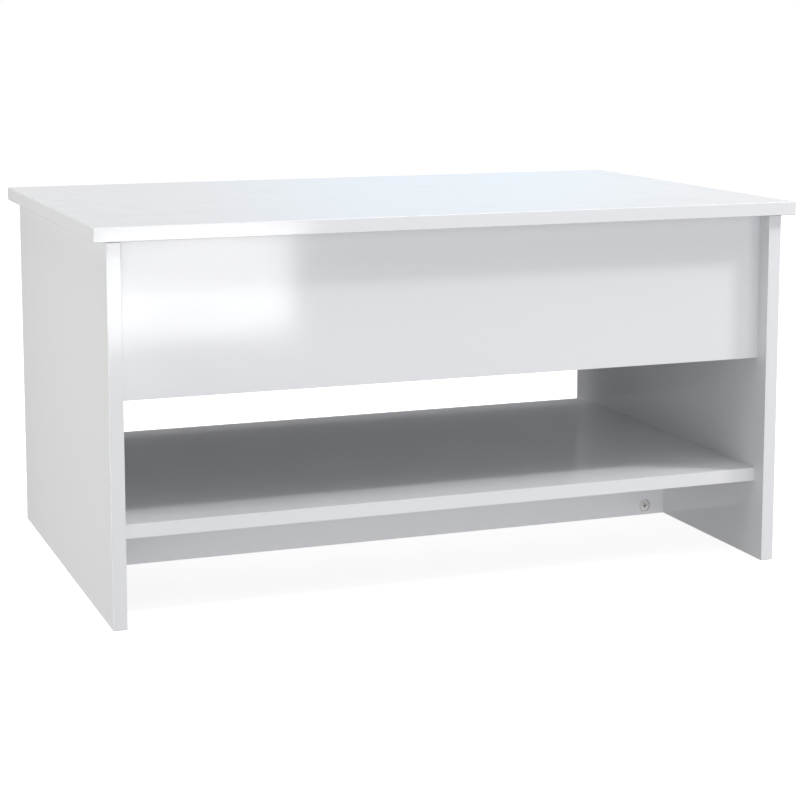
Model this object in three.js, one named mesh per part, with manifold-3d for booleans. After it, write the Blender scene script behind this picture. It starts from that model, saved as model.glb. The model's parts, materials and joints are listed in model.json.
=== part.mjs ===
// Lift top coffee table: a carcass of 15 mm boards and a top that rises and comes forward
// on two parallelogram linkages, one inside each side panel.
// Millimetres. X to the right, Y to the back, Z up. The origin is on the floor, under the
// middle of the closed table.
import * as THREE from 'three';
import { mergeVertices } from 'three/addons/utils/BufferGeometryUtils.js';
import Module from 'manifold-3d';

const wasm = await Module();
wasm.setup();

// ---------- driving dimensions ----------

// Boards
const WIDTH = 800;
const DEPTH = 500;
const HEIGHT = 415;
const BOARD = 15;
const END_OVERHANG = 14; // the top reaches this far past each side panel
const FRONT_OVERHANG = 8; // and this far past the side panels' front edges
const EDGE_RECESS = 20; // aprons and shelf stand this far inside the side panels' edges
const SUPPORT_HEIGHT = 90;
const COMPARTMENT_BOTTOM = 234;
const PAD_HEIGHT = 1; // the bumper pads hold the closed top this far above the carcass
const PAD_RADIUS = 4;

// Lift linkage, in the plane seen from the side (y, z)
const ARM_LENGTH = 230; // between an arm's two pivots
const ARM_REST_ANGLE = THREE.MathUtils.degToRad(14); // above horizontal, pointing back
const LIFT_ANGLE = THREE.MathUtils.degToRad(100);
const FRONT_PIVOT = [-145, 320];
const REAR_PIVOT = [-50, 300];
const ARM_END_RADIUS = 10.5;
const SPRING_CRANK = 35; // from the rear pivot to the spring stud on the rear arm
const SPRING_LENGTH = 134; // between its studs, with the top down

// Lift linkage, distances from the side panel's inner face
const PLATE_FACE = 2; // the base plate lies on the side panel
const BRACKET_BACK = 1; // the top bracket slides past the side panel
const BRACKET_FACE = 3;
const ARM_BACK = 5;
const ARM_FACE = 8;
const SPRING_AXIS = 17;
const STUD_END = 21.5;
const BRACKET_FLANGE_END = 26;
const RIVET_HEAD = 2;

// Round parts
const RIVET_RADIUS = 4;
const RIVET_HEAD_RADIUS = 7;
const STUD_RADIUS = 3;
const STUD_HEAD_RADIUS = 4.5;
const SPRING_RADIUS = 7.5;
const HOOK_LENGTH = 17; // spring hook, from the stud's centre to the coils
const WIRE_RADIUS = 0.9;
const CAM_RADIUS = 7.3;
const CAM_DEPTH = 12;
const CAM_INSET = 26; // cam centre, from the side panel's inner face
const BOLT_RADIUS = 3.8;
const BOLT_SINK = 10; // depth of the bolt's thread in the side panel
const CLEARANCE = 0.3; // round every part that turns or sits in a bore
const CIRCLE_SEGMENTS = 24;
const BOLT_SEGMENTS = 12;

// ---------- places worked out from them ----------

const SIDE_OUTER = WIDTH / 2 - END_OVERHANG;
const SIDE_INNER = SIDE_OUTER - BOARD;
const FRONT = -DEPTH / 2 + FRONT_OVERHANG;
const REAR = DEPTH / 2;
const TOP_UNDERSIDE = HEIGHT - BOARD;
const CARCASS_TOP = TOP_UNDERSIDE - PAD_HEIGHT;
const APRON_FRONT = FRONT + EDGE_RECESS;
const APRON_REAR = REAR - EDGE_RECESS;
const SUPPORT_FRONT = (APRON_FRONT + APRON_REAR - BOARD) / 2;
const SHELF_TOP = SUPPORT_HEIGHT + BOARD;

const ARM_RUN = ARM_LENGTH * Math.cos(ARM_REST_ANGLE);
const ARM_RISE = ARM_LENGTH * Math.sin(ARM_REST_ANGLE);
const FRONT_TOP_PIVOT = [FRONT_PIVOT[0] + ARM_RUN, FRONT_PIVOT[1] + ARM_RISE];
const REAR_TOP_PIVOT = [REAR_PIVOT[0] + ARM_RUN, REAR_PIVOT[1] + ARM_RISE];

// The crank swings equally far to each side of straight down, so the spring lies level
// both with the top down and with the top up.
const CRANK_ANGLE = -Math.PI / 2 - LIFT_ANGLE / 2;
const CRANK_STUD = [
  REAR_PIVOT[0] + SPRING_CRANK * Math.cos(CRANK_ANGLE),
  REAR_PIVOT[1] + SPRING_CRANK * Math.sin(CRANK_ANGLE),
];
const PLATE_STUD = [CRANK_STUD[0] + SPRING_LENGTH, CRANK_STUD[1]];

// ---------- materials ----------

function material(color, roughness, metalness) {
  return new THREE.MeshStandardMaterial({ color, roughness, metalness });
}

const GLOSS_WHITE = material(0xe9ebec, 0.12, 0);
const ZINC_STEEL = material(0xb9bcbf, 0.35, 1);
const SPRING_STEEL = material(0x8d9094, 0.3, 1);
const CAST_ZINC = material(0xc6c7c8, 0.45, 1);
const CLEAR_RUBBER = material(0xd9dbdb, 0.5, 0);

const table = new THREE.Group();

// ---------- solids ----------

function toSolid(geometry) {
  const bare = geometry.clone();
  bare.deleteAttribute('normal');
  bare.deleteAttribute('uv');
  const merged = mergeVertices(bare, 1e-4);
  return new wasm.Manifold(
    new wasm.Mesh({
      numProp: 3,
      vertProperties: merged.attributes.position.array,
      triVerts: merged.index.array,
    }),
  );
}

function toGeometry(solid) {
  const mesh = solid.getMesh();
  const geometry = new THREE.BufferGeometry();
  geometry.setAttribute('position', new THREE.BufferAttribute(mesh.vertProperties, mesh.numProp));
  geometry.setIndex(new THREE.BufferAttribute(mesh.triVerts, 1));
  return geometry;
}

function cut(geometry, cutters) {
  return toGeometry(cutters.reduce((solid, cutter) => solid.subtract(toSolid(cutter)), toSolid(geometry)));
}

function join(geometry, others) {
  return toGeometry(others.reduce((solid, other) => solid.add(toSolid(other)), toSolid(geometry)));
}

function add(name, geometry, surface, parent = table) {
  const mesh = new THREE.Mesh(geometry, surface);
  mesh.name = name;
  parent.add(mesh);
  return mesh;
}

// A box from its lowest to its highest corner.
function block(low, high) {
  const size = high.map((value, axis) => value - low[axis]);
  return new THREE.BoxGeometry(...size).translate(...low.map((value, axis) => value + size[axis] / 2));
}

// A solid of revolution about a line along X. The profile holds (radius, distance from the
// side panel's inner face) and starts and ends on the line.
function turned(side, profile, [y, z], segments = CIRCLE_SEGMENTS) {
  const points = profile.map(([radius, depth]) => new THREE.Vector2(radius, depth));
  const geometry = new THREE.LatheGeometry(points, segments);
  geometry.rotateZ((side * Math.PI) / 2);
  return geometry.translate(side * SIDE_INNER, y, z);
}

// A plain round bar along X, from one distance to another.
function bar(side, radius, from, to, centre, segments) {
  return turned(side, [[0, from], [radius, from], [radius, to], [0, to]], centre, segments);
}

// A flat plate cut to an outline in (y, z), from one distance to another.
function plate(side, outline, from, to) {
  const options = { depth: to - from, bevelEnabled: false, curveSegments: CIRCLE_SEGMENTS / 2 };
  const geometry = new THREE.ExtrudeGeometry(outline, options);
  geometry.applyMatrix4(new THREE.Matrix4().set(0, 0, 1, 0, 1, 0, 0, 0, 0, 1, 0, 0, 0, 0, 0, 1));
  return geometry.translate(side > 0 ? SIDE_INNER - to : from - SIDE_INNER, 0, 0);
}

// A closed outline through corner points, each corner rounded.
function roundedOutline(corners, radius) {
  const outline = new THREE.Shape();
  corners.forEach((corner, index) => {
    const before = new THREE.Vector2(...corners.at(index - 1));
    const here = new THREE.Vector2(...corner);
    const after = new THREE.Vector2(...corners[(index + 1) % corners.length]);
    const arrive = here.clone().add(before.sub(here).setLength(radius));
    const leave = here.clone().add(after.sub(here).setLength(radius));
    if (index === 0) {
      outline.moveTo(arrive.x, arrive.y);
    } else {
      outline.lineTo(arrive.x, arrive.y);
    }
    outline.quadraticCurveTo(here.x, here.y, leave.x, leave.y);
  });
  return outline;
}

// A bar outline with round ends, from one point to another.
function linkOutline([y0, z0], [y1, z1], radius) {
  const along = Math.atan2(z1 - z0, y1 - y0);
  const outline = new THREE.Shape();
  outline.absarc(y0, z0, radius, along + Math.PI / 2, along + Math.PI * 1.5);
  outline.absarc(y1, z1, radius, along - Math.PI / 2, along + Math.PI / 2);
  return outline;
}

// ---------- cam locks ----------

// Each lock is a cam in a board's face that pulls on a bolt in the side panel. `face` is
// the cam's outer face, `inward` points from it into the board.
const camLocks = [
  {
    board: 'shelf_support',
    spots: [{ at: 'support', face: [SUPPORT_FRONT, 11.5], inward: [1, 0] }],
  },
  {
    board: 'front_apron',
    spots: [{ at: 'front_apron', face: [APRON_FRONT + BOARD, 330], inward: [-1, 0] }],
  },
  {
    board: 'rear_apron',
    spots: [{ at: 'rear_apron', face: [APRON_REAR - BOARD, 330], inward: [1, 0] }],
  },
  {
    board: 'compartment_floor',
    spots: [
      { at: 'floor_front', face: [-150, COMPARTMENT_BOTTOM], inward: [0, 1] },
      { at: 'floor_rear', face: [158, COMPARTMENT_BOTTOM], inward: [0, 1] },
    ],
  },
  {
    board: 'lower_shelf',
    spots: [
      { at: 'shelf_front', face: [-165, SUPPORT_HEIGHT], inward: [0, 1] },
      { at: 'shelf_rear', face: [173, SUPPORT_HEIGHT], inward: [0, 1] },
    ],
  },
];

// A disc standing on the cam's face, reaching `depth` into the board.
function camDisc(side, spot, radius, depth) {
  const disc = new THREE.CylinderGeometry(radius, radius, depth, CIRCLE_SEGMENTS);
  if (spot.inward[1] !== 0) {
    disc.rotateX(Math.PI / 2);
  }
  return disc.translate(
    side * (SIDE_INNER - CAM_INSET),
    spot.face[0] + (spot.inward[0] * depth) / 2,
    spot.face[1] + (spot.inward[1] * depth) / 2,
  );
}

function boltLine(spot) {
  return spot.face.map((value, axis) => value + (spot.inward[axis] * BOARD) / 2);
}

function boltBore(side, spot, from, to) {
  return bar(side, BOLT_RADIUS + CLEARANCE * 2, from, to, boltLine(spot), BOLT_SEGMENTS);
}

function locksIn(board) {
  return camLocks.filter((lock) => lock.board === board).flatMap((lock) => lock.spots);
}

// The pockets and bores that a board's own cam locks need, at both ends.
function lockCuts(board) {
  return locksIn(board).flatMap((spot) =>
    [-1, 1].flatMap((side) => [
      camDisc(side, spot, CAM_RADIUS + CLEARANCE, CAM_DEPTH + CLEARANCE),
      boltBore(side, spot, -1, CAM_INSET),
    ]),
  );
}

function makeLocks() {
  const throat = 2.6;
  const headBack = 13.5;
  const headEnd = CAM_INSET - CAM_RADIUS - CLEARANCE * 2;
  const bolt = [
    [0, -BOLT_SINK],
    [BOLT_RADIUS, -BOLT_SINK],
    [BOLT_RADIUS, 0],
    [throat, 1],
    [throat, headBack],
    [BOLT_RADIUS - 0.4, headBack + 1],
    [BOLT_RADIUS - 0.4, headEnd],
    [0, headEnd],
  ];
  for (const spot of camLocks.flatMap((lock) => lock.spots)) {
    for (const [side, hand] of [[-1, 'left'], [1, 'right']]) {
      add(`cam_lock_${spot.at}_${hand}`, camDisc(side, spot, CAM_RADIUS, CAM_DEPTH), CAST_ZINC);
      add(`cam_bolt_${spot.at}_${hand}`, turned(side, bolt, boltLine(spot), BOLT_SEGMENTS), ZINC_STEEL);
    }
  }
}

// ---------- boards ----------

function makeBoards() {
  const crossBoards = {
    front_apron: [[APRON_FRONT, COMPARTMENT_BOTTOM], [APRON_FRONT + BOARD, CARCASS_TOP]],
    rear_apron: [[APRON_REAR - BOARD, COMPARTMENT_BOTTOM], [APRON_REAR, CARCASS_TOP]],
    compartment_floor: [
      [APRON_FRONT + BOARD, COMPARTMENT_BOTTOM],
      [APRON_REAR - BOARD, COMPARTMENT_BOTTOM + BOARD],
    ],
    lower_shelf: [[APRON_FRONT, SUPPORT_HEIGHT], [APRON_REAR, SHELF_TOP]],
    shelf_support: [[SUPPORT_FRONT, 0], [SUPPORT_FRONT + BOARD, SUPPORT_HEIGHT]],
  };
  for (const [name, [low, high]] of Object.entries(crossBoards)) {
    const board = block([-SIDE_INNER, ...low], [SIDE_INNER, ...high]);
    add(name, cut(board, lockCuts(name)), GLOSS_WHITE);
  }

  for (const [side, hand] of [[-1, 'left'], [1, 'right']]) {
    const [low, high] = side < 0 ? [-SIDE_OUTER, -SIDE_INNER] : [SIDE_INNER, SIDE_OUTER];
    const bores = camLocks
      .flatMap((lock) => lock.spots)
      .map((spot) => boltBore(side, spot, -BOLT_SINK - CLEARANCE, 1));
    add(`side_panel_${hand}`, cut(block([low, FRONT, 0], [high, REAR, CARCASS_TOP]), bores), GLOSS_WHITE);
  }

  const topLow = [-WIDTH / 2, -DEPTH / 2, TOP_UNDERSIDE];
  add('table_top', block(topLow, [WIDTH / 2, DEPTH / 2, HEIGHT]), GLOSS_WHITE);
}

function makePads() {
  const fromEdge = 18;
  for (const [side, hand] of [[-1, 'left'], [1, 'right']]) {
    for (const [y, end] of [[FRONT + fromEdge, 'front'], [REAR - fromEdge, 'rear']]) {
      const pad = new THREE.CylinderGeometry(PAD_RADIUS, PAD_RADIUS, PAD_HEIGHT, CIRCLE_SEGMENTS);
      const mesh = add(`bumper_pad_${end}_${hand}`, pad.rotateX(Math.PI / 2), CLEAR_RUBBER);
      mesh.position.set((side * (SIDE_INNER + SIDE_OUTER)) / 2, y, CARCASS_TOP + PAD_HEIGHT / 2);
    }
  }
}

// ---------- lift linkage ----------

// A stud with a groove that the spring's hook lies in.
function springStud(side, from, centre) {
  const grooveHalf = 1.8;
  const profile = [
    [0, from],
    [STUD_HEAD_RADIUS, from],
    [STUD_HEAD_RADIUS, SPRING_AXIS - grooveHalf - 1],
    [STUD_RADIUS, SPRING_AXIS - grooveHalf],
    [STUD_RADIUS, SPRING_AXIS + grooveHalf],
    [STUD_HEAD_RADIUS, SPRING_AXIS + grooveHalf + 1],
    [STUD_HEAD_RADIUS, STUD_END],
    [0, STUD_END],
  ];
  return turned(side, profile, centre);
}

// Shoulder, shank through the arm, and head.
function pivotRivet(side, from, centre) {
  const shoulderEnd = ARM_BACK - CLEARANCE;
  const headStart = ARM_FACE + CLEARANCE;
  const headEnd = headStart + RIVET_HEAD;
  const profile = [
    [0, from],
    [RIVET_HEAD_RADIUS, from],
    [RIVET_HEAD_RADIUS, shoulderEnd],
    [RIVET_RADIUS, shoulderEnd],
    [RIVET_RADIUS, headStart],
    [RIVET_HEAD_RADIUS, headStart],
    [RIVET_HEAD_RADIUS, headEnd - RIVET_HEAD / 2],
    [RIVET_RADIUS, headEnd],
    [0, headEnd],
  ];
  return turned(side, profile, centre);
}

function pivotHole(side, centre) {
  return bar(side, RIVET_RADIUS + CLEARANCE * 1.5, ARM_BACK - 1, ARM_FACE + 1, centre);
}

function arm(side, base, top) {
  return plate(side, linkOutline(base, top, ARM_END_RADIUS), ARM_BACK, ARM_FACE);
}

// The coils as one round bar, with a thin straight hook at each end.
function springSolid(side) {
  const studGap = STUD_RADIUS + CLEARANCE;
  const profile = [
    [0, studGap],
    [WIRE_RADIUS, studGap],
    [WIRE_RADIUS, HOOK_LENGTH - 4],
    [SPRING_RADIUS, HOOK_LENGTH],
    [SPRING_RADIUS, SPRING_LENGTH - HOOK_LENGTH],
    [WIRE_RADIUS, SPRING_LENGTH - HOOK_LENGTH + 4],
    [WIRE_RADIUS, SPRING_LENGTH - studGap],
    [0, SPRING_LENGTH - studGap],
  ];
  const points = profile.map(([radius, along]) => new THREE.Vector2(radius, along));
  const x = side * (SIDE_INNER - SPRING_AXIS);
  return new THREE.LatheGeometry(points, CIRCLE_SEGMENTS).translate(x, ...CRANK_STUD);
}

function basePlate(side) {
  const edge = 17;
  const bottom = CRANK_STUD[1] - edge;
  const tailTop = PLATE_STUD[1] + edge - 2;
  const outline = roundedOutline(
    [
      [FRONT_PIVOT[0] - edge, bottom],
      [PLATE_STUD[0] + edge, bottom],
      [PLATE_STUD[0] + edge, tailTop],
      [REAR_PIVOT[0] + edge * 2, tailTop],
      [REAR_PIVOT[0] + edge, FRONT_PIVOT[1] + edge],
      [FRONT_PIVOT[0] - edge, FRONT_PIVOT[1] + edge],
    ],
    8,
  );
  return join(plate(side, outline, 0, PLATE_FACE), [springStud(side, PLATE_FACE / 2, PLATE_STUD)]);
}

function rearArm(side) {
  const crank = plate(side, linkOutline(REAR_PIVOT, CRANK_STUD, 8), ARM_BACK, ARM_FACE);
  const stud = springStud(side, (ARM_BACK + ARM_FACE) / 2, CRANK_STUD);
  const whole = join(arm(side, REAR_PIVOT, REAR_TOP_PIVOT), [crank, stud]);
  return cut(whole, [pivotHole(side, REAR_PIVOT), pivotHole(side, REAR_TOP_PIVOT)]);
}

function topBracket(side) {
  const edge = 15;
  const front = FRONT_TOP_PIVOT[0] - edge - 6;
  const rear = REAR_TOP_PIVOT[0] + edge;
  const outline = roundedOutline(
    [
      [front, FRONT_TOP_PIVOT[1] - edge],
      [REAR_TOP_PIVOT[0] - edge, REAR_TOP_PIVOT[1] - edge],
      [rear, REAR_TOP_PIVOT[1] - edge],
      [rear, TOP_UNDERSIDE],
      [front, TOP_UNDERSIDE],
    ],
    5,
  );
  const distances = [BRACKET_BACK, BRACKET_FLANGE_END].map((value) => side * (SIDE_INNER - value));
  const flange = block(
    [Math.min(...distances), front, TOP_UNDERSIDE - (BRACKET_FACE - BRACKET_BACK)],
    [Math.max(...distances), rear, TOP_UNDERSIDE],
  );
  return join(plate(side, outline, BRACKET_BACK, BRACKET_FACE), [flange]);
}

function makeLinkage(side, hand) {
  add(`lift_base_plate_${hand}`, basePlate(side), ZINC_STEEL);
  add(`lift_top_bracket_${hand}`, topBracket(side), ZINC_STEEL);
  const frontHoles = [pivotHole(side, FRONT_PIVOT), pivotHole(side, FRONT_TOP_PIVOT)];
  add(`lift_front_arm_${hand}`, cut(arm(side, FRONT_PIVOT, FRONT_TOP_PIVOT), frontHoles), ZINC_STEEL);
  add(`lift_rear_arm_${hand}`, rearArm(side), ZINC_STEEL);
  add(`lift_spring_${hand}`, springSolid(side), SPRING_STEEL);
  const rivets = [
    ['front_base', PLATE_FACE, FRONT_PIVOT],
    ['rear_base', PLATE_FACE, REAR_PIVOT],
    ['front_top', BRACKET_FACE, FRONT_TOP_PIVOT],
    ['rear_top', BRACKET_FACE, REAR_TOP_PIVOT],
  ];
  for (const [place, from, centre] of rivets) {
    add(`pivot_rivet_${place}_${hand}`, pivotRivet(side, from, centre), ZINC_STEEL);
  }
}

makeBoards();
makePads();
makeLocks();
makeLinkage(-1, 'left');
makeLinkage(1, 'right');

export default table;
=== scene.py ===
"""Looks of a white high-gloss lift top coffee table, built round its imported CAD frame.

Metres, X to the right, Y to the back, Z up. The boards and the steel parts of the linkage
are CAD nodes with rounded edges and new materials. Cam locks, cam bolts, rivets, springs,
bumper pads and screws are detailed pieces made here.
"""
import json
import math

import bmesh
import bpy
from mathutils import Matrix, Vector

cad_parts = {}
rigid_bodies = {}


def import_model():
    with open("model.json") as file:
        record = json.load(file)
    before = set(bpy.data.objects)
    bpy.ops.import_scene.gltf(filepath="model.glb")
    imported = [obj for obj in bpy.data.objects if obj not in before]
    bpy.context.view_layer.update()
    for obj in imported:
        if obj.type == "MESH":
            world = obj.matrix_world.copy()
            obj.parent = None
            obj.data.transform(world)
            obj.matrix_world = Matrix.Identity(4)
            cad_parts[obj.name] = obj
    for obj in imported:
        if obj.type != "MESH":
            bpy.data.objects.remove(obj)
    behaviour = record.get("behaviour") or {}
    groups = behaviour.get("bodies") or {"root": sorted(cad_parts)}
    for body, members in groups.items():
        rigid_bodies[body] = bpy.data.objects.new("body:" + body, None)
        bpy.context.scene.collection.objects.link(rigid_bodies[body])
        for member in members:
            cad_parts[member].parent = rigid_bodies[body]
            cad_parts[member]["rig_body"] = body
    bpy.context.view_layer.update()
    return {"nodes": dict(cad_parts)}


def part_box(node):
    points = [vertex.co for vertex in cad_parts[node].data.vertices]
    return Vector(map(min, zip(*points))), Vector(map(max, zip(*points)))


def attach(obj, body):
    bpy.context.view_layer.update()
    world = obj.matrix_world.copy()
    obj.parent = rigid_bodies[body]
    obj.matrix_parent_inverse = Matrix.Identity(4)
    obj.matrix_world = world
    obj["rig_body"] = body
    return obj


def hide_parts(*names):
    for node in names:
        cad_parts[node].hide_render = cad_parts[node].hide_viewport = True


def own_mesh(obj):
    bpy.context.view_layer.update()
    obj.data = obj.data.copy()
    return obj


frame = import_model()
nodes = frame["nodes"]
scene = bpy.context.scene

MM = 0.001
SIDES = (("left", -1), ("right", 1))

# ---------- sizes ----------

BOARD_EDGE_ROUND = 0.7 * MM
METAL_EDGE_ROUND = 0.35 * MM
SHARP_EDGE = 40  # degrees between two faces whose edge gets rounded
SAME_PLANE = 0.5  # degrees between two faces that are joined into one
SAME_POINT = 0.002 * MM
EDGE_BAND = 0.8 * MM  # thickness of the strip glued round each board
GLUE_LINE = 0.12 * MM

CAM_RIM = 0.9 * MM
CAM_DISH = 0.45 * MM  # how far the cam's face lies below its rim
CAM_BACK_CHAMFER = 0.5 * MM
CAM_FACE_CHAMFER = 0.35 * MM
BOSS_SHARE = 0.56  # of the cam's radius
BOSS_SINK = 0.12 * MM  # how far the boss lies below the rim
ARROW_GAP = 0.5 * MM  # from the arrow to the boss and to the rim
ARROW_HALF = 1.0 * MM
ARROW_DEPTH = 0.3 * MM
CROSS_LENGTH = 6.4 * MM
CROSS_WIDTH = 1.5 * MM
CROSS_DEPTH = 3.4 * MM

BOLT_SINK = 10.0 * MM  # depth of the bolt's thread in the side panel
BOLT_COLLAR = 0.9 * MM
BOLT_NECK_RADIUS = 2.5 * MM
BOLT_HEAD_LENGTH = 5.0 * MM
THREAD_PITCH = 1.6 * MM
THREAD_CORE = 0.66  # of the bolt's radius
THREAD_CREST = 0.98

SHANK_RADIUS = 4.0 * MM
RIVET_GAP = 0.3 * MM
RIVET_CHAMFER = 0.3 * MM
RIVET_DOME = 1.3 * MM  # how far the head's dome rises
DOME_SHARE = 0.6  # of the head's radius
MARK_SHARE = 0.28  # radius of the set mark, of the head's radius
MARK_DEPTH = 0.6 * MM

WIRE_RADIUS = 0.9 * MM
WIRE_STEP = 2.2 * MM  # about the longest step between two rings of the wire's mesh
COIL_RADIUS = 6.6 * MM  # middle of the wire
COIL_TURNS = 32
COIL_START = 17.0 * MM  # from the stud's centre to the first turn
HOOK_REACH = 6.5 * MM  # how far the hook passes behind the stud's centre
HOOK_NECK = 4.0 * MM  # from the hook's loop to the first turn
HOOK_ROOM = 0.9 * MM  # between the stud and the hook's sides
HOOK_START = -70  # degrees round the hook's loop, at its free end
HOOK_SWEEP = 250  # degrees from there to the neck
STUD_RADIUS = 3.0 * MM

SCREW_HEAD_RADIUS = 3.6 * MM
SCREW_HEAD_HEIGHT = 2.1 * MM
SCREW_RECESS = 1.5 * MM
SCREW_CROSS_SHARE = 1.15  # length of the cross recess, of the head's radius
SCREW_CROSS_WIDTH = 0.85 * MM
PLATE_THICKNESS = 2.0 * MM  # of the base plates and the top brackets
PLATE_MARGIN = 9.0 * MM  # from a screw to the base plate's edge
PLATE_TAIL = 32.0 * MM  # height of the base plate's rear end
SCREW_PAST_ARM = 60.0 * MM  # from the closed front arm's front end to the second screw
SCREW_PAST_MIDDLE = 40.0 * MM  # from the base plate's middle to the third screw
BRACKET_MARGIN = 12.0 * MM  # from a screw to the top bracket's end
BRACKET_OFFSET = 3.0 * MM  # from the top bracket's middle to its screws

# ---------- camera ----------

CAMERA_PLACE = (-0.804, -2.185, 0.624)
CAMERA_YAW = 20.6  # degrees to the right of straight back
CAMERA_DROP = 7.6  # degrees below the horizon
CAMERA_LENS = 89.6  # mm, for a sensor 36 mm wide
CAMERA_SHIFT = -0.15  # of the picture's width, downward


def make_camera():
    """The photograph's camera, its lens shifted as far as the framing needs."""
    data = bpy.data.cameras.new("camera")
    data.lens = CAMERA_LENS
    data.sensor_width = 36
    data.shift_y = CAMERA_SHIFT
    camera = bpy.data.objects.new("camera", data)
    camera.location = CAMERA_PLACE
    camera.rotation_euler = (math.radians(90 - CAMERA_DROP), 0, math.radians(-CAMERA_YAW))
    scene.collection.objects.link(camera)
    scene.camera = camera


# ---------- node helpers ----------


class Graph:
    """A material's or the world's node tree, with short ways to add and join nodes."""

    def __init__(self, tree):
        self.tree = tree
        tree.nodes.clear()

    def node(self, kind, inputs=None, **settings):
        made = self.tree.nodes.new(kind)
        for name, value in settings.items():
            setattr(made, name, value)
        for key, value in (inputs or {}).items():
            self.put(made.inputs[key], value)
        return made

    def put(self, socket, value):
        if isinstance(value, bpy.types.NodeSocket):
            self.tree.links.new(value, socket)
        else:
            socket.default_value = value

    def math(self, operation, *values):
        return self.node("ShaderNodeMath", dict(enumerate(values)), operation=operation).outputs[0]

    def span(self, value, from_low, from_high, to_low, to_high, smooth=False):
        """The value moved from one range to another, and held at the new range's ends."""
        kind = "SMOOTHSTEP" if smooth else "LINEAR"
        inputs = {0: value, 1: from_low, 2: from_high, 3: to_low, 4: to_high}
        return self.node("ShaderNodeMapRange", inputs, interpolation_type=kind).outputs[0]

    def noise(self, vector, scale, detail=2.0, roughness=0.5):
        inputs = {"Vector": vector, "Scale": scale, "Detail": detail, "Roughness": roughness}
        return self.node("ShaderNodeTexNoise", inputs).outputs["Fac"]

    def stretched(self, vector, scale):
        inputs = {"Vector": vector, "Scale": scale}
        return self.node("ShaderNodeMapping", inputs).outputs["Vector"]

    def mix(self, share, one, other):
        made = self.node("ShaderNodeMix", data_type="RGBA")
        in_use = [socket for socket in made.inputs if socket.enabled]
        for socket, value in zip(in_use, (share, one, other)):
            self.put(socket, value)
        return next(socket for socket in made.outputs if socket.enabled)

    def bump(self, height, strength, distance, normal=None):
        inputs = {"Height": height, "Strength": strength, "Distance": distance}
        if normal is not None:
            inputs["Normal"] = normal
        return self.node("ShaderNodeBump", inputs).outputs[0]


def new_material(name):
    """A material with one Principled shader: its graph, the shader, and the frame's coordinates."""
    made = bpy.data.materials.new(name)
    made.use_nodes = True
    graph = Graph(made.node_tree)
    shader = graph.node("ShaderNodeBsdfPrincipled")
    graph.node("ShaderNodeOutputMaterial", {"Surface": shader.outputs[0]})
    place = graph.node("ShaderNodeTexCoord").outputs["Object"]
    return made, graph, shader, place


# ---------- materials ----------

WHITE = (0.796, 0.803, 0.829, 1)
WHITE_SHADE = (0.783, 0.790, 0.816, 1)
GLUE_GREY = (0.60, 0.60, 0.59, 1)
GLUE_SHARE = 0.5  # how strongly the glue line shows
BOARD_IOR = 1.5
BOARD_ROUGHNESS = (0.085, 0.135)
ZINC = (0.52, 0.53, 0.54)
SCREW_ZINC = (0.60, 0.60, 0.60)
SPANGLE_LIFT = 1.22  # the bright spangles against the rest
ZINC_ROUGHNESS = (0.24, 0.42)
WIRE_DARK = (0.30, 0.31, 0.33, 1)
WIRE_BRIGHT = (0.46, 0.47, 0.49, 1)
WIRE_ROUGHNESS = (0.20, 0.34)
CAST_DARK = (0.66, 0.66, 0.66, 1)
CAST_BRIGHT = (0.80, 0.80, 0.79, 1)
CAST_ROUGHNESS = (0.30, 0.44)
PAD_DARK = (0.78, 0.79, 0.79, 1)
PAD_BRIGHT = (0.86, 0.87, 0.87, 1)
PAD_ROUGHNESS = (0.22, 0.36)
PAD_TRANSMISSION = 0.55
PAD_IOR = 1.49


def thin_axis(size):
    """The axis along which this size is smallest."""
    return min(range(3), key=lambda axis: size[axis])


def gloss_board(name, low, high):
    """White high-gloss laminate with a faint ripple, and the glue line of its edge band."""
    made, graph, shader, place = new_material("gloss_" + name)
    position = graph.node("ShaderNodeSeparateXYZ", {0: place}).outputs

    def near_line(axis):
        """1 on the two thin lines where the edge band across this axis is glued on."""
        first = graph.math("SUBTRACT", position[axis], low[axis] + EDGE_BAND)
        second = graph.math("SUBTRACT", position[axis], high[axis] - EDGE_BAND)
        gap = graph.math("MINIMUM", graph.math("ABSOLUTE", first), graph.math("ABSOLUTE", second))
        return graph.span(gap, GLUE_LINE / 2, GLUE_LINE, 1, 0, smooth=True)

    size = high - low
    one, other = [axis for axis in range(3) if axis != thin_axis(size)]
    lines = graph.math("MAXIMUM", near_line(one), near_line(other))
    cloud = graph.noise(place, scale=7.0, detail=3.0)
    colour = graph.mix(cloud, WHITE, WHITE_SHADE)
    colour = graph.mix(graph.math("MULTIPLY", lines, GLUE_SHARE), colour, GLUE_GREY)
    graph.put(shader.inputs["Base Color"], colour)

    smear = graph.noise(graph.stretched(place, (1.0, 1.0, 2.5)), scale=16.0, detail=5.0, roughness=0.6)
    graph.put(shader.inputs["Roughness"], graph.span(smear, 0.35, 0.70, *BOARD_ROUGHNESS))
    ripple = graph.noise(place, scale=120.0, detail=1.0)
    grain = graph.noise(place, scale=900.0, detail=2.0)
    rippled = graph.bump(ripple, strength=0.10, distance=0.10 * MM)
    grained = graph.bump(grain, strength=0.05, distance=0.01 * MM, normal=rippled)
    graph.put(shader.inputs["Normal"], grained)
    shader.inputs["IOR"].default_value = BOARD_IOR
    return made


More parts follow.
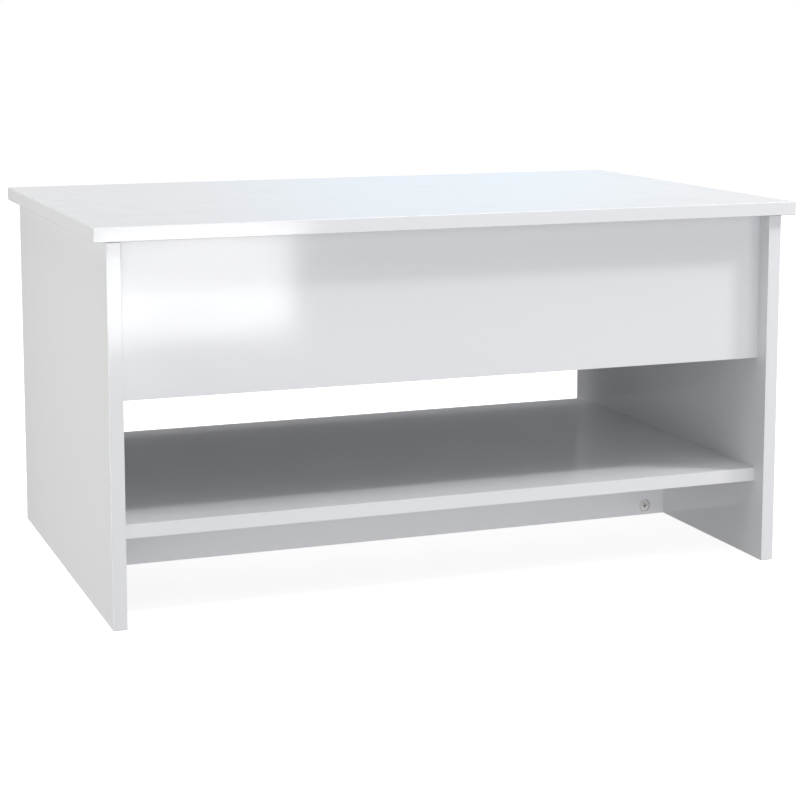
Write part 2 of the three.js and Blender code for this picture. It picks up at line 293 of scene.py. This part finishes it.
def zinc_steel(name, tone):
    """Pressed steel with bright zinc plating: faint spangle, drawn lines and light scuffs."""
    made, graph, shader, place = new_material(name)
    spangle = graph.noise(place, scale=160.0, detail=4.0, roughness=0.6)
    drawn = graph.noise(graph.stretched(place, (30.0, 1.0, 30.0)), scale=40.0, detail=6.0, roughness=0.7)
    bright = [min(1.0, value * SPANGLE_LIFT) for value in tone]
    colour = graph.mix(spangle, (*tone, 1), (*bright, 1))
    graph.put(shader.inputs["Base Color"], colour)
    graph.put(shader.inputs["Roughness"], graph.span(drawn, 0.3, 0.7, *ZINC_ROUGHNESS))
    lined = graph.bump(drawn, strength=0.12, distance=0.02 * MM)
    spangled = graph.bump(spangle, strength=0.10, distance=0.03 * MM, normal=lined)
    graph.put(shader.inputs["Normal"], spangled)
    shader.inputs["Metallic"].default_value = 1.0
    return made


def spring_steel():
    """Drawn spring wire with a thin oil film, a little darker than the plated parts."""
    made, graph, shader, place = new_material("spring_wire")
    streak = graph.noise(graph.stretched(place, (1.0, 6.0, 1.0)), scale=220.0, detail=4.0)
    graph.put(shader.inputs["Base Color"], graph.mix(streak, WIRE_DARK, WIRE_BRIGHT))
    graph.put(shader.inputs["Roughness"], graph.span(streak, 0.3, 0.7, *WIRE_ROUGHNESS))
    graph.put(shader.inputs["Normal"], graph.bump(streak, strength=0.10, distance=0.02 * MM))
    shader.inputs["Metallic"].default_value = 1.0
    return made


def cast_zinc():
    """Die-cast zinc: bright, with the fine pitted skin of a casting."""
    made, graph, shader, place = new_material("cast_zinc_skin")
    pits = graph.noise(place, scale=2400.0, detail=3.0, roughness=0.6)
    cloud = graph.noise(place, scale=300.0, detail=2.0)
    graph.put(shader.inputs["Base Color"], graph.mix(cloud, CAST_DARK, CAST_BRIGHT))
    graph.put(shader.inputs["Roughness"], graph.span(cloud, 0.3, 0.7, *CAST_ROUGHNESS))
    graph.put(shader.inputs["Normal"], graph.bump(pits, strength=0.25, distance=0.03 * MM))
    shader.inputs["Metallic"].default_value = 1.0
    return made


def clear_rubber():
    """Soft clear polyurethane with a slightly milky body."""
    made, graph, shader, place = new_material("clear_pad")
    haze = graph.noise(place, scale=500.0, detail=3.0)
    graph.put(shader.inputs["Base Color"], graph.mix(haze, PAD_DARK, PAD_BRIGHT))
    graph.put(shader.inputs["Roughness"], graph.span(haze, 0.3, 0.7, *PAD_ROUGHNESS))
    graph.put(shader.inputs["Normal"], graph.bump(haze, strength=0.15, distance=0.02 * MM))
    shader.inputs["Transmission Weight"].default_value = PAD_TRANSMISSION
    shader.inputs["IOR"].default_value = PAD_IOR
    return made


# ---------- CAD nodes ----------


def dress(node, material, rounding, segments=2):
    """A CAD node's finish: its faces merged, its edges rounded, and a material."""
    weld = node.modifiers.new("weld", "WELD")
    weld.merge_threshold = SAME_POINT
    flat = node.modifiers.new("flat_faces", "DECIMATE")
    flat.decimate_type = "DISSOLVE"
    flat.angle_limit = math.radians(SAME_PLANE)
    bevel = node.modifiers.new("rounding", "BEVEL")
    bevel.width = rounding
    bevel.segments = segments
    bevel.limit_method = "ANGLE"
    bevel.angle_limit = math.radians(SHARP_EDGE)
    bevel.harden_normals = True
    for slot in node.material_slots:
        slot.material = material


def dress_boards():
    names = ["table_top", "front_apron", "rear_apron", "compartment_floor"]
    names += ["lower_shelf", "shelf_support", "side_panel_left", "side_panel_right"]
    for name in names:
        dress(nodes[name], gloss_board(name, *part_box(name)), BOARD_EDGE_ROUND, segments=3)


def dress_linkage(steel):
    for hand, _ in SIDES:
        for part in ("base_plate", "top_bracket", "front_arm", "rear_arm"):
            dress(nodes[f"lift_{part}_{hand}"], steel, METAL_EDGE_ROUND)


# ---------- mesh helpers ----------


def add_piece(name, mesh, material, body, slot, *stands_for):
    """A piece of this material that rides on a body, and may stand for CAD nodes."""
    piece = bpy.data.objects.new(name, mesh)
    scene.collection.objects.link(piece)
    mesh.materials.clear()
    mesh.materials.append(material)
    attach(piece, body)
    if stands_for:
        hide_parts(*stands_for)
    return piece


def body_of(node_name):
    return nodes[node_name]["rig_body"]


def smooth(mesh, degrees=35):
    """Smooth shading, except across edges sharper than this."""
    mesh.shade_smooth()
    made = bmesh.new()
    made.from_mesh(mesh)
    for edge in made.edges:
        edge.smooth = edge.is_manifold and edge.calc_face_angle() < math.radians(degrees)
    made.to_mesh(mesh)
    made.free()
    return mesh


def finished(made, name):
    """The mesh of a closed bmesh, with its faces turned outward."""
    bmesh.ops.recalc_face_normals(made, faces=made.faces)
    mesh = bpy.data.meshes.new(name)
    made.to_mesh(mesh)
    made.free()
    return mesh


def turned(name, profile, segments=40):
    """A solid of revolution about Z. The profile holds (radius, height) from axis to axis."""
    made = bmesh.new()
    angles = [2 * math.pi * step / segments for step in range(segments)]
    rings = []
    for radius, height in profile:
        points = [(radius * math.cos(a), radius * math.sin(a), height) for a in angles]
        if radius == 0:
            points = points[:1]
        rings.append([made.verts.new(point) for point in points])
    for ring, following in zip(rings, rings[1:]):
        for step in range(segments):
            after = (step + 1) % segments
            corners = [ring[step % len(ring)], ring[after % len(ring)]]
            corners += [following[after % len(following)], following[step % len(following)]]
            made.faces.new(dict.fromkeys(corners))
    return finished(made, name)


def prism(outline, low, high, taper=1.0):
    """A closed prism over an outline in X and Y; its lower end is the outline times the taper."""
    made = bmesh.new()
    bottom = [made.verts.new((x * taper, y * taper, low)) for x, y in outline]
    top = [made.verts.new((x, y, high)) for x, y in outline]
    made.faces.new(reversed(bottom))
    made.faces.new(top)
    for step in range(len(outline)):
        after = (step + 1) % len(outline)
        made.faces.new([bottom[step], bottom[after], top[after], top[step]])
    return finished(made, "cutter")


def carved(mesh, cutters):
    """The mesh with each cutter taken out of it."""
    body = bpy.data.objects.new("carving", mesh)
    scene.collection.objects.link(body)
    tools = [bpy.data.objects.new("cutter", cutter) for cutter in cutters]
    for tool in tools:
        scene.collection.objects.link(tool)
        modifier = body.modifiers.new("carve", "BOOLEAN")
        modifier.operation = "DIFFERENCE"
        modifier.solver = "EXACT"
        modifier.object = tool
    graph = bpy.context.evaluated_depsgraph_get()
    result = bpy.data.meshes.new_from_object(body.evaluated_get(graph))
    for made in (*tools, body):
        bpy.data.objects.remove(made)
    return result


def cross_outline(length, width):
    """The outline of a cross with four equal arms, centred on the origin."""
    half, arm = length / 2, width / 2
    quarter = [(half, -arm), (half, arm), (arm, arm)]
    turns = [Matrix.Rotation(math.pi / 2 * turn, 2) for turn in range(4)]
    return [tuple(turn @ Vector(point)) for turn in turns for point in quarter]


def quarter_round(middle, size, steps=6):
    """Profile points round a middle, from its outer side up to straight above it."""
    angles = [math.radians(90 * step / steps) for step in range(steps + 1)]
    across = [middle[0] + size[0] * math.cos(a) for a in angles]
    up = [middle[1] + size[1] * math.sin(a) for a in angles]
    return list(zip(across, up))


def placed(mesh, centre, axis, turn_to=None):
    """A copy of a mesh with its Z along the axis, its X near turn_to, and its origin at the centre."""
    z = Vector(axis).normalized()
    x = Vector(turn_to if turn_to is not None else z.orthogonal())
    x = (x - z * x.dot(z)).normalized()
    y = z.cross(x)
    copy = mesh.copy()
    copy.transform(Matrix.Translation(centre) @ Matrix((x, y, z)).transposed().to_4x4())
    return copy


# ---------- cam locks and their bolts ----------

CAM_PLACES = {  # each pair of cams and the board that holds it
    "support": "shelf_support",
    "front_apron": "front_apron",
    "rear_apron": "rear_apron",
    "floor_front": "compartment_floor",
    "floor_rear": "compartment_floor",
    "shelf_front": "lower_shelf",
    "shelf_rear": "lower_shelf",
}


def cam_mesh(radius, depth):
    """A die-cast cam: rim, dished face, boss with a cross recess, and an arrow to the bolt."""
    boss = radius * BOSS_SHARE
    dish = radius - CAM_RIM
    profile = [(0, -depth), (radius - CAM_BACK_CHAMFER, -depth), (radius, -depth + CAM_BACK_CHAMFER)]
    profile += [(radius, -CAM_FACE_CHAMFER), (radius - CAM_FACE_CHAMFER, 0), (dish, 0)]
    profile += [(dish - 0.2 * MM, -CAM_DISH), (boss + 0.25 * MM, -CAM_DISH)]
    profile += [(boss, -BOSS_SINK), (0, -BOSS_SINK)]
    foot, tip = boss + ARROW_GAP, dish - ARROW_GAP
    arrow = [(foot, -ARROW_HALF), (tip, 0), (foot, ARROW_HALF)]
    cutters = [
        prism(cross_outline(CROSS_LENGTH, CROSS_WIDTH), -CROSS_DEPTH, MM, taper=0.55),
        prism(arrow, -CAM_DISH - ARROW_DEPTH, MM),
    ]
    return carved(turned("cam", profile, segments=48), cutters)


def bolt_mesh(length, radius):
    """A cam bolt along Z: wood thread below, collar, neck and head above the board's edge."""
    core, crest = radius * THREAD_CORE, radius * THREAD_CREST
    profile = [(0, -BOLT_SINK), (core * 0.5, -BOLT_SINK)]
    for turn in range(int(BOLT_SINK / THREAD_PITCH - 1)):
        base = -BOLT_SINK + 0.6 * MM + turn * THREAD_PITCH
        profile += [(core, base), (crest, base + THREAD_PITCH * 0.45)]
        profile += [(core, base + THREAD_PITCH * 0.9)]
    head, tip = radius - 0.5 * MM, length - BOLT_SINK
    profile += [(core, -BOLT_COLLAR - 0.3 * MM), (radius, -BOLT_COLLAR), (radius, 0)]
    profile += [(BOLT_NECK_RADIUS, 0.8 * MM), (BOLT_NECK_RADIUS, tip - BOLT_HEAD_LENGTH - MM)]
    profile += [(head, tip - BOLT_HEAD_LENGTH)]
    profile += quarter_round((head - MM, tip - MM), (MM, MM), steps=4)
    profile += [(0, tip)]
    return turned("bolt", profile, segments=28)


def add_cam(place, hand, side, mesh, cast):
    """A cam in the face of its board that the CAD cam reaches, its arrow to the side panel."""
    node = f"cam_lock_{place}_{hand}"
    low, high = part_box(node)
    board_low, board_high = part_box(CAM_PLACES[place])
    thin = thin_axis(high - low)
    at_low_face = abs(low[thin] - board_low[thin]) < abs(high[thin] - board_high[thin])
    centre = (low + high) / 2
    centre[thin] = low[thin] if at_low_face else high[thin]
    outward = Vector((0, 0, 0))
    outward[thin] = -1 if at_low_face else 1
    made = placed(mesh, centre, outward, turn_to=(side, 0, 0))
    add_piece(f"cam_{place}_{hand}", made, cast, body_of(node), "cast_zinc", node)


def add_bolt(place, hand, side, mesh, steel):
    """The cam's bolt, its collar on the inner face of the side panel."""
    node = f"cam_bolt_{place}_{hand}"
    low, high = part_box(node)
    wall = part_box("side_panel_" + hand)[0 if side > 0 else 1].x
    centre = (wall, (low.y + high.y) / 2, (low.z + high.z) / 2)
    made = placed(mesh, centre, (-side, 0, 0))
    add_piece(f"bolt_{place}_{hand}", made, steel, body_of(node), "zinc_steel", node)


def make_locks(cast, steel):
    low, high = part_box("cam_lock_support_right")
    size = high - low
    cam = smooth(cam_mesh(max(size) / 2, min(size)), degrees=30)
    low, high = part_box("cam_bolt_support_right")
    bolt = smooth(bolt_mesh(high.x - low.x, (high.z - low.z) / 2), degrees=50)
    for place in CAM_PLACES:
        for hand, side in SIDES:
            add_cam(place, hand, side, cam, cast)
            add_bolt(place, hand, side, bolt, steel)


# ---------- bumper pads ----------


def make_pads(rubber):
    """Domed pads on the side panels' top edges."""
    for hand, _ in SIDES:
        for end in ("front", "rear"):
            node = f"bumper_pad_{end}_{hand}"
            low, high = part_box(node)
            radius, height = (high.x - low.x) / 2, high.z - low.z
            profile = [(0, 0), (radius - 0.1 * MM, 0), (radius, 0.1 * MM)]
            dome = (radius * 0.45, height * 0.65)
            profile += quarter_round((radius * 0.55, height * 0.35), dome, steps=8)
            profile += [(0, height)]
            centre = ((low.x + high.x) / 2, (low.y + high.y) / 2, low.z)
            mesh = smooth(turned("pad", profile), degrees=60)
            made = placed(mesh, centre, (0, 0, 1))
            add_piece(f"pad_{end}_{hand}", made, rubber, body_of(node), "clear_rubber", node)


# ---------- rivets and screws ----------


def rivet_mesh(radius, shoulder, shank, whole):
    """A shouldered rivet along Z: shoulder, shank through the arm, domed head with a set mark."""
    base = shoulder + shank
    profile = [(0, 0), (radius - RIVET_CHAMFER, 0), (radius, RIVET_CHAMFER), (radius, shoulder)]
    profile += [(SHANK_RADIUS, shoulder), (SHANK_RADIUS, base), (radius - 0.1 * MM, base)]
    middle = (radius * (1 - DOME_SHARE), whole - RIVET_DOME)
    profile += quarter_round(middle, (radius * DOME_SHARE, RIVET_DOME))
    profile += [(radius * MARK_SHARE, whole), (radius * 0.2, whole - MARK_DEPTH + 0.1 * MM)]
    profile += [(0, whole - MARK_DEPTH)]
    return turned("rivet", profile)


def make_rivets(steel):
    """Four rivets on each side, each with its shank in the hole of an arm."""
    for hand, side in SIDES:
        arm_low, arm_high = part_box(f"lift_front_arm_{hand}")
        arm_back, arm_face = (arm_high.x, arm_low.x) if side > 0 else (arm_low.x, arm_high.x)
        for place in ("front_base", "rear_base", "front_top", "rear_top"):
            node = f"pivot_rivet_{place}_{hand}"
            low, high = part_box(node)
            foot = high.x if side > 0 else low.x
            shoulder = abs(foot - arm_back) - RIVET_GAP
            shank = abs(arm_back - arm_face) + RIVET_GAP * 2
            mesh = smooth(rivet_mesh((high.z - low.z) / 2, shoulder, shank, high.x - low.x))
            centre = (foot, (low.y + high.y) / 2, (low.z + high.z) / 2)
            made = placed(mesh, centre, (-side, 0, 0))
            add_piece(f"rivet_{place}_{hand}", made, steel, body_of(node), "zinc_steel", node)


def screw_mesh():
    """A pan-head screw's head, with a cross recess, standing on the plate that it holds."""
    radius, height = SCREW_HEAD_RADIUS, SCREW_HEAD_HEIGHT
    profile = [(0, 0), (radius - 0.2 * MM, 0), (radius, 0.25 * MM)]
    profile += quarter_round((radius * 0.45, height * 0.35), (radius * 0.55, height * 0.65))
    profile += [(0, height)]
    cross = cross_outline(radius * SCREW_CROSS_SHARE, SCREW_CROSS_WIDTH)
    recess = prism(cross, height - SCREW_RECESS, height + MM, taper=0.5)
    return smooth(carved(turned("screw", profile), [recess]), degrees=30)


def add_plate_screws(hand, side, mesh, steel):
    """Four screws through the base plate into the side panel, each turned its own way."""
    low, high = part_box("lift_base_plate_" + hand)
    arm_low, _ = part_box("lift_front_arm_" + hand)
    face = (high.x if side > 0 else low.x) - side * PLATE_THICKNESS
    spots = [
        (low.y + PLATE_MARGIN, low.z + PLATE_MARGIN),
        (arm_low.y + SCREW_PAST_ARM, high.z - PLATE_MARGIN),
        ((low.y + high.y) / 2 + SCREW_PAST_MIDDLE, low.z + PLATE_MARGIN),
        (high.y - PLATE_MARGIN * 4, low.z + PLATE_TAIL - PLATE_MARGIN),
    ]
    for number, (y, z) in enumerate(spots, 1):
        turn = (0, math.cos(number), math.sin(number))
        made = placed(mesh, (face, y, z), (-side, 0, 0), turn_to=turn)
        add_piece(f"plate_screw_{number}_{hand}", made, steel, "root", "zinc_steel")


def add_bracket_screws(hand, side, mesh, steel):
    """Three screws up through the bracket's flange into the top, each turned its own way."""
    low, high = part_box("lift_top_bracket_" + hand)
    x = (low.x + high.x) / 2 - side * BRACKET_OFFSET
    underside = high.z - PLATE_THICKNESS
    reach = high.y - low.y - BRACKET_MARGIN * 2
    for number in range(3):
        y = low.y + BRACKET_MARGIN + reach * number / 2
        turn = (math.cos(number), math.sin(number), 0)
        made = placed(mesh, (x, y, underside), (0, 0, -1), turn_to=turn)
        add_piece(f"bracket_screw_{number + 1}_{hand}", made, steel, "tabletop", "zinc_steel")


def make_screws(steel):
    mesh = screw_mesh()
    for hand, side in SIDES:
        add_plate_screws(hand, side, mesh, steel)
        add_bracket_screws(hand, side, mesh, steel)


# ---------- springs ----------


def wire_mesh(name, points, radius, sides=10):
    """A closed round tube along the points."""
    made = bmesh.new()
    angles = [2 * math.pi * step / sides for step in range(sides)]
    rings = []
    across = Vector((1, 0, 0))
    for index, point in enumerate(points):
        before = points[max(index - 1, 0)]
        after = points[min(index + 1, len(points) - 1)]
        along = (after - before).normalized()
        across = (across - along * across.dot(along)).normalized()
        up = along.cross(across)
        spokes = [across * math.cos(a) + up * math.sin(a) for a in angles]
        rings.append([made.verts.new(point + spoke * radius) for spoke in spokes])
    for ring, following in zip(rings, rings[1:]):
        for step in range(sides):
            after = (step + 1) % sides
            made.faces.new([ring[step], ring[after], following[after], following[step]])
    made.faces.new(reversed(rings[0]))
    made.faces.new(rings[-1])
    return finished(made, name)


def hook_points():
    """The open hook round a stud at the origin, from its free end to the edge of the coils."""
    steps = 18
    half = (COIL_START - HOOK_NECK + HOOK_REACH) / 2
    wide = STUD_RADIUS + WIRE_RADIUS + HOOK_ROOM
    angles = [math.radians(HOOK_START - HOOK_SWEEP * step / steps) for step in range(steps + 1)]
    return [Vector((0, half - HOOK_REACH + half * math.cos(a), wide * math.sin(a))) for a in angles]


def coil_points(length):
    """The close coils along Y, between the two hooks."""
    steps_per_turn = 20
    count = COIL_TURNS * steps_per_turn
    points = []
    for step in range(count + 1):
        angle = 2 * math.pi * step / steps_per_turn
        along = COIL_START + (length - COIL_START * 2) * step / count
        points.append(Vector((COIL_RADIUS * math.sin(angle), along, COIL_RADIUS * math.cos(angle))))
    return points


def smooth_line(rough):
    """A Catmull-Rom curve through the points, with more points on it where they lie far apart."""
    line = []
    for index in range(len(rough) - 1):
        before = rough[max(index - 1, 0)]
        here, after = rough[index], rough[index + 1]
        beyond = rough[min(index + 2, len(rough) - 1)]
        parts = max(1, round((after - here).length / WIRE_STEP))
        for part in range(parts):
            t = part / parts
            bend = (2 * here) + (after - before) * t
            bend += (2 * before - 5 * here + 4 * after - beyond) * t * t
            bend += (3 * here - before - 3 * after + beyond) * t ** 3
            line.append(bend / 2)
    return line + [rough[-1]]


def spring_line(length):
    """The middle of the wire: a hook round each stud and the coils between them."""
    first = hook_points()
    second = [Vector((-p.x, length - p.y, p.z)) for p in reversed(first)]
    return smooth_line(first + coil_points(length) + second)


def make_springs(wire):
    """Each spring runs from the crank's stud back to the plate's stud, which stays in place."""
    for hand, _ in SIDES:
        node = "lift_spring_" + hand
        low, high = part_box(node)
        gap = STUD_RADIUS + RIVET_GAP
        x, z = (low.x + high.x) / 2, (low.z + high.z) / 2
        crank_stud, plate_stud = low.y - gap, high.y + gap
        points = [Vector((x, crank_stud, z)) + p for p in spring_line(plate_stud - crank_stud)]
        mesh = smooth(wire_mesh("spring_" + hand, points, WIRE_RADIUS), degrees=60)
        piece = add_piece("spring_" + hand, mesh, wire, "root", "spring_steel", node)
        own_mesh(piece)


# ---------- studio ----------

FLOOR_RADIUS = 14.0
FLOOR_GREY = (0.5, 0.5, 0.5, 1)
FLOOR_GLOW = 0.80  # light that the floor gives off, which keeps its shadows faint
FLOOR_DROP = 0.5 * MM  # keeps the floor clear of the faces that stand on it


def make_floor():
    """A pale floor that the camera sees and that the table's light doesn't bounce off."""
    made = bmesh.new()
    bmesh.ops.create_circle(made, cap_ends=True, radius=FLOOR_RADIUS, segments=96)
    mesh = bpy.data.meshes.new("floor")
    made.to_mesh(mesh)
    made.free()
    floor = bpy.data.objects.new("floor", mesh)
    floor.location.z = -FLOOR_DROP
    scene.collection.objects.link(floor)
    material = bpy.data.materials.new("pale_floor")
    material.use_nodes = True
    graph = Graph(material.node_tree)
    matt = graph.node("ShaderNodeBsdfDiffuse", {"Color": FLOOR_GREY})
    glow = graph.node("ShaderNodeEmission", {"Color": (1, 1, 1, 1), "Strength": FLOOR_GLOW})
    both = graph.node("ShaderNodeAddShader", {0: matt.outputs[0], 1: glow.outputs[0]})
    graph.node("ShaderNodeOutputMaterial", {"Surface": both.outputs[0]})
    mesh.materials.append(material)
    floor.visible_diffuse = False
    floor.visible_glossy = False
    floor.visible_transmission = False
    floor.visible_shadow = False


def softbox(name, place, target, size, radiance, colour=(1, 1, 1)):
    """An evenly bright rectangular light of this width and height, facing its target."""
    data = bpy.data.lights.new(name, "AREA")
    data.shape = "RECTANGLE"
    data.size, data.size_y = size
    data.color = colour
    data.energy = radiance * math.pi * size[0] * size[1]
    light = bpy.data.objects.new(name, data)
    light.visible_camera = False
    light.location = place
    light.rotation_euler = (Vector(target) - light.location).to_track_quat("-Z", "Y").to_euler()
    scene.collection.objects.link(light)


# The room's bright bands as seen from the table: the side they are on, their lowest, brightest
# and highest elevation in degrees, and their radiance. Between them the room is dark.
ROOM_BANDS = (
    ("front", -90, -90, -25, 1.6),  # floor close by
    ("front", -25, -5, 4, 2.25),  # floor farther off
    ("front", -5, 4, 14, 0.6),  # foot of the wall
    ("front", 4, 14, 35, 1.2),  # wall
    ("front", 35, 60, 90, 2.0),  # lamps over the front
    ("rear", -5, 4, 14, 0.7),  # low window
    ("rear", 25, 60, 90, 0.6),  # lamps over the back
    ("left", -90, -20, 8, 0.35),  # floor at the left
    ("right", -9, 4, 14, 1.0),  # low window at the right
    ("right", 14, 60, 90, 1.1),  # lamps over the right
)
CEILING = 0.6  # radiance straight overhead
# A soft patch of cool daylight low behind the table, which the gloss of the top picks up.
PATCH_AZIMUTH = 22.0  # degrees to the right of straight back
PATCH_SIDES = (1.5, 10.0)  # degrees from its middle to where it starts to fade and is gone
PATCH_TOP = (7.0, 11.0)  # the same for its upper edge, in degrees of elevation
PATCH_TINT = (1.03, 1.18, 1.30, 1)


def room_radiance(graph, direction, elevation):
    """How bright the room is in a direction: the ceiling and the bands on its four sides."""
    x, y, z = direction
    flat = graph.math("SUBTRACT", 1, graph.math("MULTIPLY", z, z))
    flat = graph.math("SQRT", graph.math("MAXIMUM", flat, 1e-6))  # never 0, to divide by

    def share(value, sign):
        """How much a direction faces this way: the four shares add up to 1."""
        part = graph.math("DIVIDE", graph.math("MULTIPLY", value, sign), flat)
        part = graph.math("MAXIMUM", part, 0)
        return graph.math("MULTIPLY", part, part)

    shares = {"front": share(y, -1), "rear": share(y, 1), "left": share(x, -1), "right": share(x, 1)}
    total = graph.span(elevation, 60, 90, 0, CEILING)
    for side, lowest, brightest, highest, radiance in ROOM_BANDS:
        rise = graph.span(elevation, lowest, brightest, 0, 1) if lowest < brightest else 1.0
        fall = graph.span(elevation, brightest, highest, 1, 0)
        level = graph.math("MULTIPLY", graph.math("MULTIPLY", rise, fall), radiance)
        total = graph.math("ADD", total, graph.math("MULTIPLY", level, shares[side]))
    return total


def daylight(graph, x, y, elevation):
    """1 in the patch of daylight, fading to 0 at its sides and above it."""
    azimuth = graph.math("MULTIPLY", graph.math("ARCTAN2", x, y), 180 / math.pi)
    aside = graph.math("ABSOLUTE", graph.math("SUBTRACT", azimuth, PATCH_AZIMUTH))
    beside = graph.span(aside, *PATCH_SIDES, 1, 0, smooth=True)
    below = graph.span(elevation, *PATCH_TOP, 1, 0, smooth=True)
    return graph.math("MULTIPLY", beside, below)


def make_world():
    """White to the camera; to every surface, a room with bright bands and a patch of daylight."""
    world = bpy.data.worlds.new("studio")
    scene.world = world
    world.use_nodes = True
    graph = Graph(world.node_tree)
    toward = graph.node("ShaderNodeTexCoord").outputs["Generated"]
    x, y, z = graph.node("ShaderNodeSeparateXYZ", {0: toward}).outputs
    elevation = graph.math("MULTIPLY", graph.math("ARCSINE", z), 180 / math.pi)
    total = room_radiance(graph, (x, y, z), elevation)
    tint = graph.mix(daylight(graph, x, y, elevation), (1, 1, 1, 1), PATCH_TINT)
    room = graph.node("ShaderNodeBackground", {"Color": tint, "Strength": total})
    white = graph.node("ShaderNodeBackground", {"Color": (1, 1, 1, 1), "Strength": 1.0})
    seen = graph.node("ShaderNodeLightPath").outputs["Is Camera Ray"]
    both = graph.node("ShaderNodeMixShader", {0: seen, 1: room.outputs[0], 2: white.outputs[0]})
    graph.node("ShaderNodeOutputWorld", {"Surface": both.outputs[0]})


def make_lights():
    """A key up to the right, a strip and a card at the left, a box above, one ahead, a card behind.

    Each has its place, the point it faces, its width and height, and its radiance.
    """
    softbox("key", (2.05, -1.22, 2.43), (2.0, -0.22, 0.35), (0.8, 0.24), 82.0)
    softbox("left_strip", (-1.8, 0, 0.35), (0, 0, 0.35), (1.0, 1.3), 4.75, colour=(1.0, 1.01, 0.95))
    softbox("left_card", (-0.73, 1.25, -0.05), (-0.60, 0, -0.05), (0.44, 1.0), 0.36)
    softbox("top_box", (0, 0, 3.0), (0, 0, 0), (2.5, 2.5), 2.5)
    softbox("mirror_box", (0.095, -1.72, 0.16), (0.095, 0, 0.16), (0.38, 0.23), 8.2)
    softbox("rear_card", (0.83, 4.0, -0.22), (0, 0.2, 0.3), (1.1, 0.6), 17.0)


def make_studio():
    make_floor()
    make_world()
    make_lights()
    scene.view_settings.view_transform = "Standard"


make_camera()
make_studio()
steel = zinc_steel("zinc_steel", ZINC)
cast = cast_zinc()
dress_boards()
dress_linkage(steel)
make_locks(cast, steel)
make_pads(clear_rubber())
make_rivets(steel)
make_screws(zinc_steel("screw_zinc", SCREW_ZINC))
make_springs(spring_steel())
